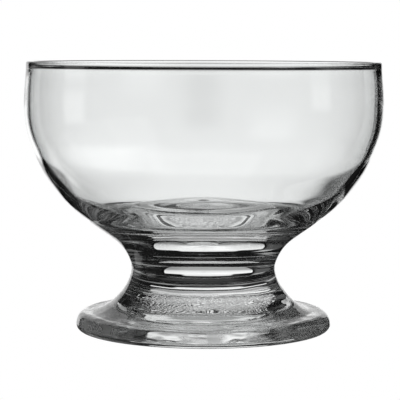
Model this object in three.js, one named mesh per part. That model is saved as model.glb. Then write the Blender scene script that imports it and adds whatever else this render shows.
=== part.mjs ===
// A clear glass dessert cup: a deep round bowl on a short waisted stem and a thick round foot.
// The three pieces are hot-welded to each other on flat faces and share one upright axis.

import * as THREE from 'three';

// Driving dimensions, in millimetres. +Z is up, and Z = 0 is the surface that the cup stands on.
const HEIGHT = 78.4;            // to the top of the rim
const BOWL_RADIUS = 52.36;      // outside, where the bowl is fullest
const BOWL_FULLEST_Z = 67.4;
const RIM_OUTER_RADIUS = 51.72;
const RIM_OUTER_ROUND = 0.6;    // fire-polished corners of the rim
const RIM_INNER_RADIUS = 49.35; // inside of the small bead along the rim
const RIM_INNER_ROUND = 0.5;
const RIM_BASE_Z = 77.4;        // where the outside runs into the rim
const BEAD_BASE_Z = 74.6;       // where the inside runs into the bead
const MOAT_Z = 31.96;           // lowest ring of the inside of the bowl
const FLOOR_Z = 37.16;          // middle of the inside, which is pushed up
const BOWL_WELD_Z = 29.0;       // bowl on stem
const BOWL_WELD_RADIUS = 29.49;
const WAIST_RADIUS = 21.12;     // thinnest part of the stem
const WAIST_Z = 17.9;
const FOOT_WELD_Z = 9.0;        // stem on foot
const FOOT_WELD_RADIUS = 25.8;
const FOOT_RADIUS = 37.4;       // outside of the foot's rounded edge
const FOOT_EDGE_Z = 1.8;
const REST_OUTER_RADIUS = 35.38; // flat ring that the cup stands on
const REST_INNER_RADIUS = 20.9;
const HOLLOW_DEPTH = 2.0;       // shallow hollow inside that ring
const SEGMENTS = 56;            // facets round the axis

// Evenly spaced points on a smooth curve through the given [radius, height] pairs.
function smooth(pairs, divisions) {
  const curve = new THREE.SplineCurve(pairs.map(([r, z]) => new THREE.Vector2(r, z)));
  curve.arcLengthDivisions = 600;
  return curve.getSpacedPoints(divisions);
}

// Points on part of a circle, from one angle to another, in degrees.
function arc(r, z, radius, from, to, divisions) {
  const points = [];
  for (let i = 0; i <= divisions; i++) {
    const a = THREE.MathUtils.degToRad(from + ((to - from) * i) / divisions);
    points.push(new THREE.Vector2(r + radius * Math.cos(a), z + radius * Math.sin(a)));
  }
  return points;
}

// A solid turned about the upright axis from an outline that starts and ends on the axis.
function turned(name, outline, material) {
  const geometry = new THREE.LatheGeometry(outline, SEGMENTS);
  geometry.rotateX(Math.PI / 2);
  const mesh = new THREE.Mesh(geometry, material);
  mesh.name = name;
  return mesh;
}

function glass() {
  return new THREE.MeshStandardMaterial({
    color: 0xeef4f3,
    roughness: 0.03,
    metalness: 0,
    transparent: true,
    opacity: 0.35,
  });
}

// Bowl: up the outside from the weld, over the rim, down the bead and the inside to the middle of the floor.
const bowlOutside = smooth(
  [
    [BOWL_WELD_RADIUS, BOWL_WELD_Z],
    [31.75, 30.61],
    [34.29, 32.54],
    [36.78, 34.52],
    [39.19, 36.63],
    [41.4, 38.95],
    [43.37, 41.45],
    [45.28, 44.01],
    [47.0, 46.7],
    [48.4, 49.56],
    [49.65, 52.49],
    [50.78, 55.46],
    [51.64, 58.52],
    [52.16, 61.65],
    [BOWL_RADIUS, 64.61],
    [BOWL_RADIUS, BOWL_FULLEST_Z],
    [52.15, 70.98],
    [51.9, 73.8],
    [51.76, 76.0],
    [RIM_OUTER_RADIUS, RIM_BASE_Z],
  ],
  20,
);
const rim = [
  ...arc(RIM_OUTER_RADIUS - RIM_OUTER_ROUND, HEIGHT - RIM_OUTER_ROUND, RIM_OUTER_ROUND, 0, 90, 5),
  ...arc(RIM_INNER_RADIUS + RIM_INNER_ROUND, HEIGHT - RIM_INNER_ROUND, RIM_INNER_ROUND, 90, 180, 5),
];
const bead = smooth(
  [
    [RIM_INNER_RADIUS, HEIGHT - RIM_INNER_ROUND],
    [RIM_INNER_RADIUS, 77.66],
    [49.54, 77.3],
    [49.94, 76.94],
    [50.26, 76.58],
    [50.3, 76.15],
    [50.26, BEAD_BASE_Z],
  ],
  9,
).slice(1, -1);
const bowlInside = smooth(
  [
    [50.26, BEAD_BASE_Z],
    [50.3, 73.8],
    [50.52, 70.6],
    [50.61, 64.67],
    [50.42, 61.86],
    [49.95, 58.9],
    [49.15, 56.0],
    [48.06, 53.13],
    [46.82, 50.28],
    [45.37, 47.62],
    [43.66, 45.13],
    [41.72, 42.72],
    [39.72, 40.41],
    [37.52, 38.37],
    [35.11, 36.52],
    [32.62, 34.69],
    [30.09, 32.87],
    [27.4, MOAT_Z],
    [25.0, 32.93],
    [22.2, 33.61],
    [19.2, 34.78],
    [16.0, 35.67],
    [12.0, 36.26],
    [6.5, 36.67],
    [0, FLOOR_Z],
  ],
  30,
);
bowlInside[bowlInside.length - 1].set(0, FLOOR_Z);
const bowl = turned(
  'bowl',
  [new THREE.Vector2(0, BOWL_WELD_Z), ...bowlOutside, ...rim, ...bead, ...bowlInside],
  glass(),
);

// Stem: a solid waisted neck between the two welds.
const stemSide = smooth(
  [
    [FOOT_WELD_RADIUS, FOOT_WELD_Z],
    [24.67, 10.24],
    [23.38, 11.87],
    [22.31, 13.66],
    [21.53, 15.59],
    [WAIST_RADIUS, WAIST_Z],
    [21.43, 19.9],
    [22.12, 21.57],
    [23.12, 23.32],
    [24.36, 24.9],
    [25.81, 26.28],
    [27.42, 27.52],
    [BOWL_WELD_RADIUS, BOWL_WELD_Z],
  ],
  14,
);
const stem = turned(
  'stem',
  [new THREE.Vector2(0, FOOT_WELD_Z), ...stemSide, new THREE.Vector2(0, BOWL_WELD_Z)],
  glass(),
);

// Foot: from the middle of the hollow underside, over the resting ring, round the edge and up to the weld.
const footHollow = smooth(
  [
    [0, HOLLOW_DEPTH],
    [6.1, HOLLOW_DEPTH - 0.03],
    [11.8, HOLLOW_DEPTH - 0.21],
    [16.3, HOLLOW_DEPTH - 0.67],
    [19.0, 0.64],
    [20.3, 0.1],
    [REST_INNER_RADIUS, 0],
  ],
  8,
);
footHollow[0].set(0, HOLLOW_DEPTH);
const footSide = smooth(
  [
    [REST_OUTER_RADIUS, 0],
    [36.74, 0.32],
    [37.32, 1.1],
    [FOOT_RADIUS, FOOT_EDGE_Z],
    [37.06, 3.39],
    [36.45, 4.33],
    [35.4, 4.93],
    [34.1, 5.12],
    [32.7, 5.2],
    [31.26, 5.44],
    [29.87, 5.95],
    [28.54, 6.7],
    [27.3, 7.61],
    [FOOT_WELD_RADIUS, FOOT_WELD_Z],
  ],
  16,
);
const foot = turned(
  'foot',
  [...footHollow, ...footSide, new THREE.Vector2(0, FOOT_WELD_Z)],
  glass(),
);

const cup = new THREE.Group();
cup.name = 'dessert_cup';
cup.add(bowl, stem, foot);

export default cup;
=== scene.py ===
"""A clear glass dessert cup on a plain pale floor: bowl, stem and foot, each its own piece of glass."""

import math

import bpy
import numpy as np
from mathutils import Matrix, Vector, noise


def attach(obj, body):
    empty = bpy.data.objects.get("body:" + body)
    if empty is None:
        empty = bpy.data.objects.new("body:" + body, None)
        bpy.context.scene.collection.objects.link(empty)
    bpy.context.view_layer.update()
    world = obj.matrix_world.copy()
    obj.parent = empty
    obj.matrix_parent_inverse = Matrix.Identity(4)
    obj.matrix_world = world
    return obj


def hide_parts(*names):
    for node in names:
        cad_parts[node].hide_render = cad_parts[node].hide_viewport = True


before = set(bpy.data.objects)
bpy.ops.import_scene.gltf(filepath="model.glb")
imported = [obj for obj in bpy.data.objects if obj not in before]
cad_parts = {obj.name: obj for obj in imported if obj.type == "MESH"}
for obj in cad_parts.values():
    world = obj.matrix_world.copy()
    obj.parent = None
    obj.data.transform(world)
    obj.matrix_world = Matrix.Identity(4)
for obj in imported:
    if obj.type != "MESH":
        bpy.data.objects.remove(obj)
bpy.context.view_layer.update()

MM = 0.001

# ---------------------------------------------------------------- outline of the glass, in mm
# [radius, height] pairs on the upright axis, from the middle of the underside, round the outside
# to the rim, and down the inside to the middle of the floor.
FOOT_WELD_Z = 9.0
BOWL_WELD_Z = 29.0
HEIGHT = 78.4
REST_INNER = 20.9
REST_OUTER = 35.38
GRAIN_INNER, GRAIN_OUTER = 0.0, 15.8
GRAIN = 0.085

HOLLOW = [
    [0, 2.0], [3.0, 1.995], [6.1, 1.97], [9.0, 1.9], [11.8, 1.79], [14.2, 1.6], [16.3, 1.33], [17.8, 1.02], [19.0, 0.64],
    [19.8, 0.3], [20.3, 0.1], [REST_INNER, 0.0],
]
OUTSIDE = [
    [REST_OUTER, 0], [36.74, 0.32], [37.38, 1.26], [37.39, 2.3], [37.06, 3.39], [36.45, 4.33], [35.4, 4.93], [34.1, 5.12],
    [32.7, 5.2], [31.26, 5.44], [29.87, 5.95], [28.54, 6.7], [27.3, 7.61], [26.13, 8.66], [24.67, 10.24], [23.38, 11.87],
    [22.31, 13.66], [21.53, 15.59], [21.12, 17.9], [21.43, 19.9], [22.12, 21.57], [23.12, 23.32], [24.36, 24.9],
    [25.81, 26.28], [27.42, 27.52], [29.14, 28.75], [31.75, 30.61], [34.29, 32.54], [36.78, 34.52], [39.19, 36.63],
    [41.4, 38.95], [43.37, 41.45], [45.28, 44.01], [47.0, 46.7], [48.4, 49.56], [49.65, 52.49], [50.78, 55.46],
    [51.64, 58.52], [52.16, 61.65], [52.36, 64.61], [52.36, 67.4], [52.15, 70.98], [51.9, 73.8], [51.76, 76.0], [51.72, 77.4],
]
INSIDE = [
    [50.26, 74.6], [50.3, 73.8], [50.52, 70.6], [50.607, 64.671], [50.424, 61.855], [49.949, 58.897], [49.147, 55.999],
    [48.055, 53.133], [46.818, 50.284], [45.371, 47.616], [43.655, 45.133], [41.718, 42.717], [39.721, 40.406],
    [37.524, 38.367], [35.109, 36.522], [32.619, 34.689], [30.085, 32.873], [27.4, 31.955], [25, 32.93], [22.2, 33.609],
    [19.2, 34.784], [16, 35.674], [12, 36.263], [6.5, 36.669], [0, 37.155],
]


def spline(points):
    """A natural cubic curve through the points, as a function of the chord length along it."""
    p = np.array(points, float)
    t = np.concatenate([[0], np.cumsum(np.hypot(*np.diff(p, axis=0).T))])
    n, h = len(p), np.diff(t)
    a, b = np.eye(n), np.zeros((n, 2))
    for i in range(1, n - 1):
        a[i, i - 1 : i + 2] = h[i - 1], 2 * (h[i - 1] + h[i]), h[i]
        b[i] = 6 * ((p[i + 1] - p[i]) / h[i] - (p[i] - p[i - 1]) / h[i - 1])
    m = np.linalg.solve(a, b)

    def at(x):
        x = np.atleast_1d(np.asarray(x, float))
        i = np.clip(np.searchsorted(t, x, side="right") - 1, 0, n - 2)
        u, v, w = (x - t[i])[:, None], (t[i + 1] - x)[:, None], h[i][:, None]
        return (
            m[i] * v**3 / (6 * w) + m[i + 1] * u**3 / (6 * w)
            + (p[i] / w - m[i] * w / 6) * v + (p[i + 1] / w - m[i + 1] * w / 6) * u
        )

    return at, t[-1]


def sampled(points, count):
    at, end = spline(points)
    return at(np.linspace(0, end, count + 1))


def at_height(at, lo, hi, z):
    """Where a rising stretch of a curve passes a height."""
    for _ in range(60):
        mid = (lo + hi) / 2
        lo, hi = (mid, hi) if at(mid)[0, 1] < z else (lo, mid)
    return (lo + hi) / 2


out_at, out_end = spline(OUTSIDE)
foot_weld = at_height(out_at, 4.0, out_end, FOOT_WELD_Z)
bowl_weld = at_height(out_at, foot_weld, out_end, BOWL_WELD_Z)



def arc(r, z, radius, start, stop, count):
    a = np.radians(np.linspace(start, stop, count))
    return np.stack([r + radius * np.cos(a), z + radius * np.sin(a)], 1)


# the edge: rounded on top, and a little thicker on the inside than the wall below it
BEAD = [
    [49.35, 77.9], [49.35, 77.66], [49.4, 77.48], [49.54, 77.3], [49.74, 77.12], [49.94, 76.94], [50.14, 76.74], [50.26, 76.58],
    [50.3, 76.4], [50.3, 76.15], [50.27, 75.6], [50.26, 74.6],
]
RIM = np.vstack([arc(51.12, HEIGHT - 0.6, 0.6, 2, 90, 11), arc(49.85, HEIGHT - 0.5, 0.5, 90, 180, 11), sampled(BEAD, 64)[1:-1]])

hollow_at, hollow_end = spline(HOLLOW)
ring = np.stack([np.linspace(REST_INNER, REST_OUTER, 43)[1:-1], np.zeros(41)], 1)
hollow = hollow_at(np.concatenate([np.linspace(0, 16.4, 70)[:-1], np.linspace(16.4, hollow_end, 15)]))
foot_side = out_at(np.linspace(0, foot_weld, 61))
stem_side = out_at(np.linspace(foot_weld, bowl_weld, 51))
bowl_side = out_at(np.linspace(bowl_weld, out_end, 85))
inside = sampled(INSIDE, 120)


# ---------------------------------------------------------------- small reliefs
def grain(r, a):
    """Height of the raised dots under the foot, 0 to 1: rows of dots, each a little off its place."""
    pitch = 0.72
    row = np.floor((r - GRAIN_INNER) / pitch)
    best = np.zeros_like(r)
    for dr in (-1, 0, 1):
        i = row + dr
        rc = GRAIN_INNER + (i + 0.5) * pitch
        n = np.maximum(np.round(2 * np.pi * rc / pitch), 1)
        j = np.floor(a / (2 * np.pi) * n)
        for dj in (-1, 0, 1):
            k = np.mod(j + dj, n)
            h1 = np.mod(np.sin(i * 127.1 + k * 311.7) * 43758.5453, 1)
            h2 = np.mod(np.sin(i * 269.5 + k * 183.3) * 28001.8384, 1)
            h3 = np.mod(np.sin(i * 74.7 + k * 57.31) * 15731.743, 1)
            ac = (k + 0.5 + (h1 - 0.5) * 0.8) / n * 2 * np.pi
            rr = rc + (h2 - 0.5) * 0.7 * pitch
            d2 = r**2 + rr**2 - 2 * r * rr * np.cos(a - ac)
            size = pitch * (0.45 + 0.25 * h3)
            best = np.maximum(best, np.clip(1 - d2 / size**2, 0, 1) * (0.6 + 0.4 * h3))
    return best * np.clip((r - GRAIN_INNER) / 0.9, 0, 1) * np.clip((GRAIN_OUTER - r) / 0.9, 0, 1)


def ripple(points, size, depth, seed):
    """Slow uneven swelling of pressed glass, in mm, at each point."""
    off = Vector((seed * 3.1, seed * 7.7, seed * 5.3))
    return np.array([depth * noise.noise(Vector(p) / size + off) for p in points])


# ---------------------------------------------------------------- one skin, then three pieces of it
def turned(rings, count):
    """Points of rings of count points each, [ring, point, xyz]."""
    a = np.linspace(0, 2 * np.pi, count, endpoint=False)
    r, z = rings[:, 0][:, None], rings[:, 1][:, None]
    return np.stack([r * np.sin(a), -r * np.cos(a), z + 0 * a], 2), a


def skin_normals(grid):
    """Smooth outward normals of a skin of rings."""
    round_ = np.roll(grid, -1, 1) - np.roll(grid, 1, 1)
    step = np.diff(grid, axis=0)
    size = np.maximum(np.linalg.norm(step, axis=2, keepdims=True), 1e-9)
    way = step / size
    along = np.concatenate([way[:1], (way[:-1] * size[1:] + way[1:] * size[:-1]) / (size[:-1] + size[1:]), way[-1:]])
    nrm = np.cross(round_, along)
    return nrm / np.maximum(np.linalg.norm(nrm, axis=2, keepdims=True), 1e-12)


def glass_piece(name, grid, nrm, pole_first, pole_last, glass, weld):
    """A closed piece from rings of points: an end on the axis is a pole, and any other end is a flat weld face."""
    rings, count = grid.shape[:2]
    verts, vn, faces, slots, flat = [], [], [], [], []
    start = 1 if pole_first else 0
    stop = rings - 1 if pole_last else rings
    for i in range(start, stop):
        verts += grid[i].tolist()
        vn += nrm[i].tolist()
    body = stop - start
    nxt = [(j + 1) % count for j in range(count)]
    for i in range(body - 1):
        lo, hi = i * count, (i + 1) * count
        faces += [(lo + j, lo + nxt[j], hi + nxt[j], hi + j) for j in range(count)]
    slots += [0] * len(faces)

    def end(row, centre, normal, slot, turn):
        c = len(verts)
        verts.append(centre)
        vn.append(normal)
        base = row * count
        fan = [(c, base + j, base + nxt[j]) if turn else (c, base + nxt[j], base + j) for j in range(count)]
        if slot:
            flat.extend(range(len(faces), len(faces) + count))
        faces.extend(fan)
        slots.extend([slot] * count)

    first, last = grid[0].mean(0), grid[-1].mean(0)
    up, down = (0, 0, 1), (0, 0, -1)
    if pole_first:
        end(0, first.tolist(), down, 0, False)
    else:
        end(0, first.tolist(), down, 1, False)
    end(body - 1, last.tolist(), up, 0 if pole_last else 1, True)

    mesh = bpy.data.meshes.new(name)
    mesh.from_pydata([[c * MM for c in v] for v in verts], [], faces)
    mesh.materials.append(glass)
    mesh.materials.append(weld)
    mesh.polygons.foreach_set("material_index", slots)
    mesh.polygons.foreach_set("use_smooth", [True] * len(faces))
    flat = set(flat)
    loops = []
    for i, f in enumerate(faces):
        if i in flat:
            n = down if (i - len(faces)) < -count and not pole_first else up
            loops += [n] * len(f)
        else:
            loops += [vn[v] for v in f]
    mesh.normals_split_custom_set(loops)
    mesh.update()
    o = bpy.data.objects.new(name, mesh)
    bpy.context.scene.collection.objects.link(o)
    return o


# ---------------------------------------------------------------- materials
def material(name):
    m = bpy.data.materials.new(name)
    m.use_nodes = True
    m.node_tree.nodes.clear()
    return m, m.node_tree.nodes, m.node_tree.links


def glass_material(name, tint, wave_size, wave_depth, dull=0.0):
    m, nodes, links = material(name)
    out = nodes.new("ShaderNodeOutputMaterial")
    b = nodes.new("ShaderNodeBsdfPrincipled")
    b.inputs["Base Color"].default_value = (*tint, 1)
    b.inputs["Roughness"].default_value = 0.0
    b.inputs["IOR"].default_value = 1.52
    b.inputs["Transmission Weight"].default_value = 1.0
    links.new(b.outputs[0], out.inputs["Surface"])
    where = nodes.new("ShaderNodeTexCoord")
    wave = nodes.new("ShaderNodeTexNoise")
    wave.inputs["Scale"].default_value = 1.0 / wave_size
    wave.inputs["Detail"].default_value = 1.5
    links.new(where.outputs["Object"], wave.inputs["Vector"])
    bump = nodes.new("ShaderNodeBump")
    bump.inputs["Strength"].default_value = 1.0
    bump.inputs["Distance"].default_value = wave_depth
    links.new(wave.outputs["Fac"], bump.inputs["Height"])
    links.new(bump.outputs["Normal"], b.inputs["Normal"])
    if dull:
        # The ring that the cup stands on is a little dull.
        height = nodes.new("ShaderNodeSeparateXYZ")
        links.new(where.outputs["Object"], height.inputs[0])
        low = nodes.new("ShaderNodeMapRange")
        links.new(height.outputs["Z"], low.inputs["Value"])
        for key, v in (("From Min", 0.0003), ("From Max", 0.0006), ("To Min", dull), ("To Max", 0.0)):
            low.inputs[key].default_value = v
        blotch = nodes.new("ShaderNodeTexNoise")
        blotch.inputs["Scale"].default_value = 160.0
        links.new(where.outputs["Object"], blotch.inputs["Vector"])
        patchy = nodes.new("ShaderNodeMapRange")
        links.new(blotch.outputs["Fac"], patchy.inputs["Value"])
        for key, v in (("From Min", 0.42), ("From Max", 0.58), ("To Min", 0.3), ("To Max", 1.2)):
            patchy.inputs[key].default_value = v
        both = nodes.new("ShaderNodeMath")
        both.operation = "MULTIPLY"
        links.new(low.outputs["Result"], both.inputs[0])
        links.new(patchy.outputs["Result"], both.inputs[1])
        links.new(both.outputs[0], b.inputs["Roughness"])
    return m


blown = glass_material("blown_glass", (0.985, 0.995, 0.993), 0.02, 0.00002)
pressed = glass_material("pressed_glass", (0.98, 0.993, 0.99), 0.007, 0.00004, dull=0.25)
weld, _nodes, _links = material("hot_weld")
_out = _nodes.new("ShaderNodeOutputMaterial")
_clear = _nodes.new("ShaderNodeBsdfTransparent")
_links.new(_clear.outputs[0], _out.inputs["Surface"])

# ---------------------------------------------------------------- pieces
ROUND = 512
skin = np.vstack([hollow, ring, foot_side, stem_side[1:], bowl_side[1:], RIM, inside])
grid, ang = turned(skin, ROUND)
n_hollow, n_foot = len(hollow), len(hollow) + len(ring) + len(foot_side)
n_stem = n_foot + len(stem_side) - 1
rr = np.hypot(grid[:n_hollow, :, 0], grid[:n_hollow, :, 1])
grid[:n_hollow, :, 2] -= GRAIN * grain(rr, np.broadcast_to(ang[None, :], rr.shape))
nrm = skin_normals(grid)


def drawn_out(part, along, around, depth, seed):
    """Ripples on part of the skin that are drawn out round the axis, in mm."""
    step = np.hypot(*np.diff(skin[part], axis=0).T)
    s = np.concatenate([[0], np.cumsum(step)])[:, None] + 0 * ang
    p = np.stack([30 * np.sin(ang) / around + 0 * s, -30 * np.cos(ang) / around + 0 * s, s / along], 2)
    return ripple(p.reshape(-1, 3), 1.0, depth, seed).reshape(s.shape)


wavy = slice(n_foot - len(foot_side), n_stem)
z = grid[wavy, :, 2]
fade = np.clip((z - 0.3) / 1.2, 0, 1) * np.clip((15.0 - z) / 5.0, 0, 1)
depth = ripple(grid[wavy].reshape(-1, 3), 5.0, 0.09, 4).reshape(z.shape) + drawn_out(wavy, 1.6, 16.0, 0.13, 9)
depth += ripple(grid[wavy].reshape(-1, 3), 1.7, 0.012, 7).reshape(z.shape) * np.clip((6.5 - z) / 2.0, 0, 1)
grid[wavy] += nrm[wavy] * (depth * fade)[:, :, None]
rest = slice(n_hollow, n_hollow + len(ring))
near = np.clip(np.minimum(skin[rest, 0] - REST_INNER, REST_OUTER - skin[rest, 0]) / 1.5, 0, 1)[:, None]
grid[rest, :, 2] += np.maximum(drawn_out(rest, 3.0, 8.0, 0.15, 5) + 0.08, 0) * near
nrm = skin_normals(grid)
foot = glass_piece("foot_glass", grid[:n_foot], nrm[:n_foot], True, False, pressed, weld)
stem = glass_piece("stem_glass", grid[n_foot - 1 : n_stem], nrm[n_foot - 1 : n_stem], False, False, pressed, weld)
bowl = glass_piece("bowl_glass", grid[n_stem - 1 :], nrm[n_stem - 1 :], False, True, blown, weld)
for piece, node, slot in ((bowl, "bowl", "blown_glass"), (stem, "stem", "pressed_glass"), (foot, "foot", "pressed_glass")):
    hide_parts(node)
    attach(piece, "root")

# ---------------------------------------------------------------- floor, light, camera
scene = bpy.context.scene
m, nodes, links = material("pale_floor")
out = nodes.new("ShaderNodeOutputMaterial")
e = nodes.new("ShaderNodeEmission")
e.inputs["Color"].default_value = (1, 1, 1, 1)
e.inputs["Strength"].default_value = 1.0
links.new(e.outputs[0], out.inputs["Surface"])
mesh = bpy.data.meshes.new("floor")
mesh.from_pydata([(-30, -30, -0.0002), (30, -30, -0.0002), (30, 30, -0.0002), (-30, 30, -0.0002)], [], [(0, 1, 2, 3)])
mesh.materials.append(m)
floor = bpy.data.objects.new("floor", mesh)
scene.collection.objects.link(floor)
floor.visible_glossy = floor.visible_transmission = floor.visible_diffuse = floor.visible_shadow = False


def node(kind, **sets):
    n = nodes.new(kind)
    for key, value in sets.items():
        setattr(n, key, value)
    return n


def maths(op, a, b=None, c=None, clamp=False):
    n = node("ShaderNodeMath", operation=op, use_clamp=clamp)
    for i, v in enumerate((a, b, c)):
        if v is None:
            continue
        if isinstance(v, (int, float)):
            n.inputs[i].default_value = v
        else:
            links.new(v, n.inputs[i])
    return n.outputs[0]


def ramp(value, lo, hi, a=0.0, b=1.0):
    n = node("ShaderNodeMapRange", interpolation_type="SMOOTHSTEP")
    links.new(value, n.inputs["Value"])
    for key, v in (("From Min", lo), ("From Max", hi), ("To Min", a), ("To Max", b)):
        n.inputs[key].default_value = v
    return n.outputs["Result"]


m, nodes, links = material("backdrop")
coord = node("ShaderNodeTexCoord")
xyz = node("ShaderNodeSeparateXYZ")
links.new(coord.outputs["Object"], xyz.inputs[0])
across = maths("MULTIPLY", xyz.outputs[0], 1000.0)
above = maths("MULTIPLY", xyz.outputs[2], 1000.0)


def patch(strength, x, half, low, high, soft=4.0, soft_v=6.0):
    """A soft-edged patch of the backdrop: middle and half width, and lowest and highest edge, in millimetres."""
    off = maths("ABSOLUTE", maths("SUBTRACT", across, x))
    w = ramp(off, half + soft, half - soft)
    v = maths("MULTIPLY", ramp(above, low - soft_v, low + soft_v), ramp(above, high + soft_v, high - soft_v))
    return maths("MULTIPLY", maths("MULTIPLY", w, v), strength)


# A lit screen behind the cup. It is seen through the glass and in it, and is out of the picture itself.
SCREEN = {
    "whole": dict(strength=0.8, x=-55, half=295, low=-188, high=760, soft_v=20),
    "brighter below": dict(strength=0.24, x=-55, half=295, low=-600, high=60, soft_v=100),
    "darker at the foot": dict(strength=-0.26, x=-55, half=295, low=-600, high=-120, soft_v=80),
    "lower right corner": dict(strength=-1.0, x=190, half=75, low=-300, high=-105, soft=20, soft_v=20),
    "lower left corner": dict(strength=-1.0, x=-300, half=130, low=-300, high=-105, soft=20, soft_v=20),
    "right side": dict(strength=-0.08, x=210, half=75, low=-75, high=900, soft=60),
    "glow": dict(strength=0.14, x=-85, half=42, low=-40, high=6, soft=30, soft_v=18),
    "darker above": dict(strength=-0.4, x=-55, half=295, low=170, high=440, soft_v=60),
    "fold": dict(strength=-0.09, x=0, half=12, low=28, high=110, soft=10, soft_v=12),
}
total = None
for p in SCREEN.values():
    p = patch(**p)
    total = p if total is None else maths("ADD", total, p)
e = node("ShaderNodeEmission")
e.inputs["Color"].default_value = (1, 1, 1, 1)
links.new(maths("MAXIMUM", total, 0.0), e.inputs["Strength"])
out = node("ShaderNodeOutputMaterial")
links.new(e.outputs[0], out.inputs["Surface"])
m.cycles.emission_sampling = "NONE"
BEHIND = 0.6
mesh = bpy.data.meshes.new("backdrop")
mesh.from_pydata([(-0.38, BEHIND, -0.21), (0.26, BEHIND, -0.21), (0.26, BEHIND, 0.8), (-0.38, BEHIND, 0.8)], [], [(0, 1, 2, 3)])
mesh.materials.append(m)
backdrop = bpy.data.objects.new("backdrop", mesh)
scene.collection.objects.link(backdrop)
backdrop.visible_camera = backdrop.visible_shadow = False

world = bpy.data.worlds.new("studio")
scene.world = world
world.use_nodes = True
nodes, links = world.node_tree.nodes, world.node_tree.links
nodes.clear()
coord = node("ShaderNodeTexCoord")
xyz = node("ShaderNodeSeparateXYZ")
links.new(coord.outputs["Generated"], xyz.inputs[0])
azimuth = maths("MULTIPLY", maths("ARCTAN2", xyz.outputs[0], xyz.outputs[1]), 180 / math.pi)
height = maths("MULTIPLY", maths("ARCSINE", xyz.outputs[2]), 180 / math.pi)


def panel(strength, az, half, low, high, soft=3.0, soft_v=3.0, fade=0.0):
    """A soft-edged panel of light: middle and half width in azimuth, and lowest and highest edge, in degrees."""
    off = maths("ABSOLUTE", maths("WRAP", maths("SUBTRACT", azimuth, az), 180.0, -180.0))
    w = ramp(off, half + soft, half - soft)
    v = maths("MULTIPLY", ramp(height, low - soft_v, low + soft_v), ramp(height, high + soft_v, high - soft_v))
    level = maths("MULTIPLY", w, v)
    if fade:
        level = maths("MULTIPLY", level, maths("SUBTRACT", 1.0, maths("MULTIPLY", maths("MAXIMUM", height, 0.0), fade)))
    return maths("MULTIPLY", level, strength)


RIG = {
    "right wall": dict(strength=0.17, az=80, half=24, low=14, high=45),
    "front right": dict(strength=0.35, az=122, half=18, low=14, high=45),
    "low right": dict(strength=0.14, az=80, half=18, low=-42, high=-22),
    "low front": dict(strength=0.38, az=180, half=45, low=-62, high=-42),
    "underneath": dict(strength=0.04, az=0, half=181, low=-96, high=-62, soft=0.5),
    "far left": dict(strength=0.85, az=-90, half=9, low=-10, high=4),
    "left of the screen": dict(strength=0.1, az=-47, half=13, low=-22, high=14),
    "low left": dict(strength=0.55, az=-45, half=9, low=-36, high=-20),
    "window at the front": dict(strength=0.62, az=135, half=15, low=-27, high=-3, soft=9, soft_v=8),
}
total = None
for p in RIG.values():
    p = panel(**p)
    total = p if total is None else maths("ADD", total, p)
total = maths("ADD", total, 0.008)
path = node("ShaderNodeLightPath")
studio = node("ShaderNodeBackground")
studio.inputs["Color"].default_value = (1, 1, 1, 1)
links.new(total, studio.inputs["Strength"])
plain = node("ShaderNodeBackground")
plain.inputs["Color"].default_value = (1, 1, 1, 1)
mix = node("ShaderNodeMixShader")
links.new(path.outputs["Is Camera Ray"], mix.inputs[0])
links.new(studio.outputs[0], mix.inputs[1])
links.new(plain.outputs[0], mix.inputs[2])
out = node("ShaderNodeOutputWorld")
links.new(mix.outputs[0], out.inputs["Surface"])

scene.view_settings.view_transform = "Standard"
scene.cycles.max_bounces = 48
scene.cycles.transmission_bounces = 48
scene.cycles.glossy_bounces = 48
scene.cycles.transparent_max_bounces = 64
scene.cycles.blur_glossy = 0.0

DISTANCE, EYE, FOCAL, TILT, ROLL = 0.4968, 0.08292, 1697.2, 5.181, 0.2
cam = bpy.data.cameras.new("camera")
cam.sensor_width = 36.0
cam.lens = 36.0 * FOCAL / 400
cam.clip_start, cam.clip_end = 0.01, 100
camera = bpy.data.objects.new("camera", cam)
scene.collection.objects.link(camera)
camera.matrix_world = (
    Matrix.Translation((-0.001025, -DISTANCE, EYE))
    @ Matrix.Rotation(math.radians(90 - TILT), 4, "X")
    @ Matrix.Rotation(math.radians(ROLL), 4, "Z")
)
scene.camera = camera
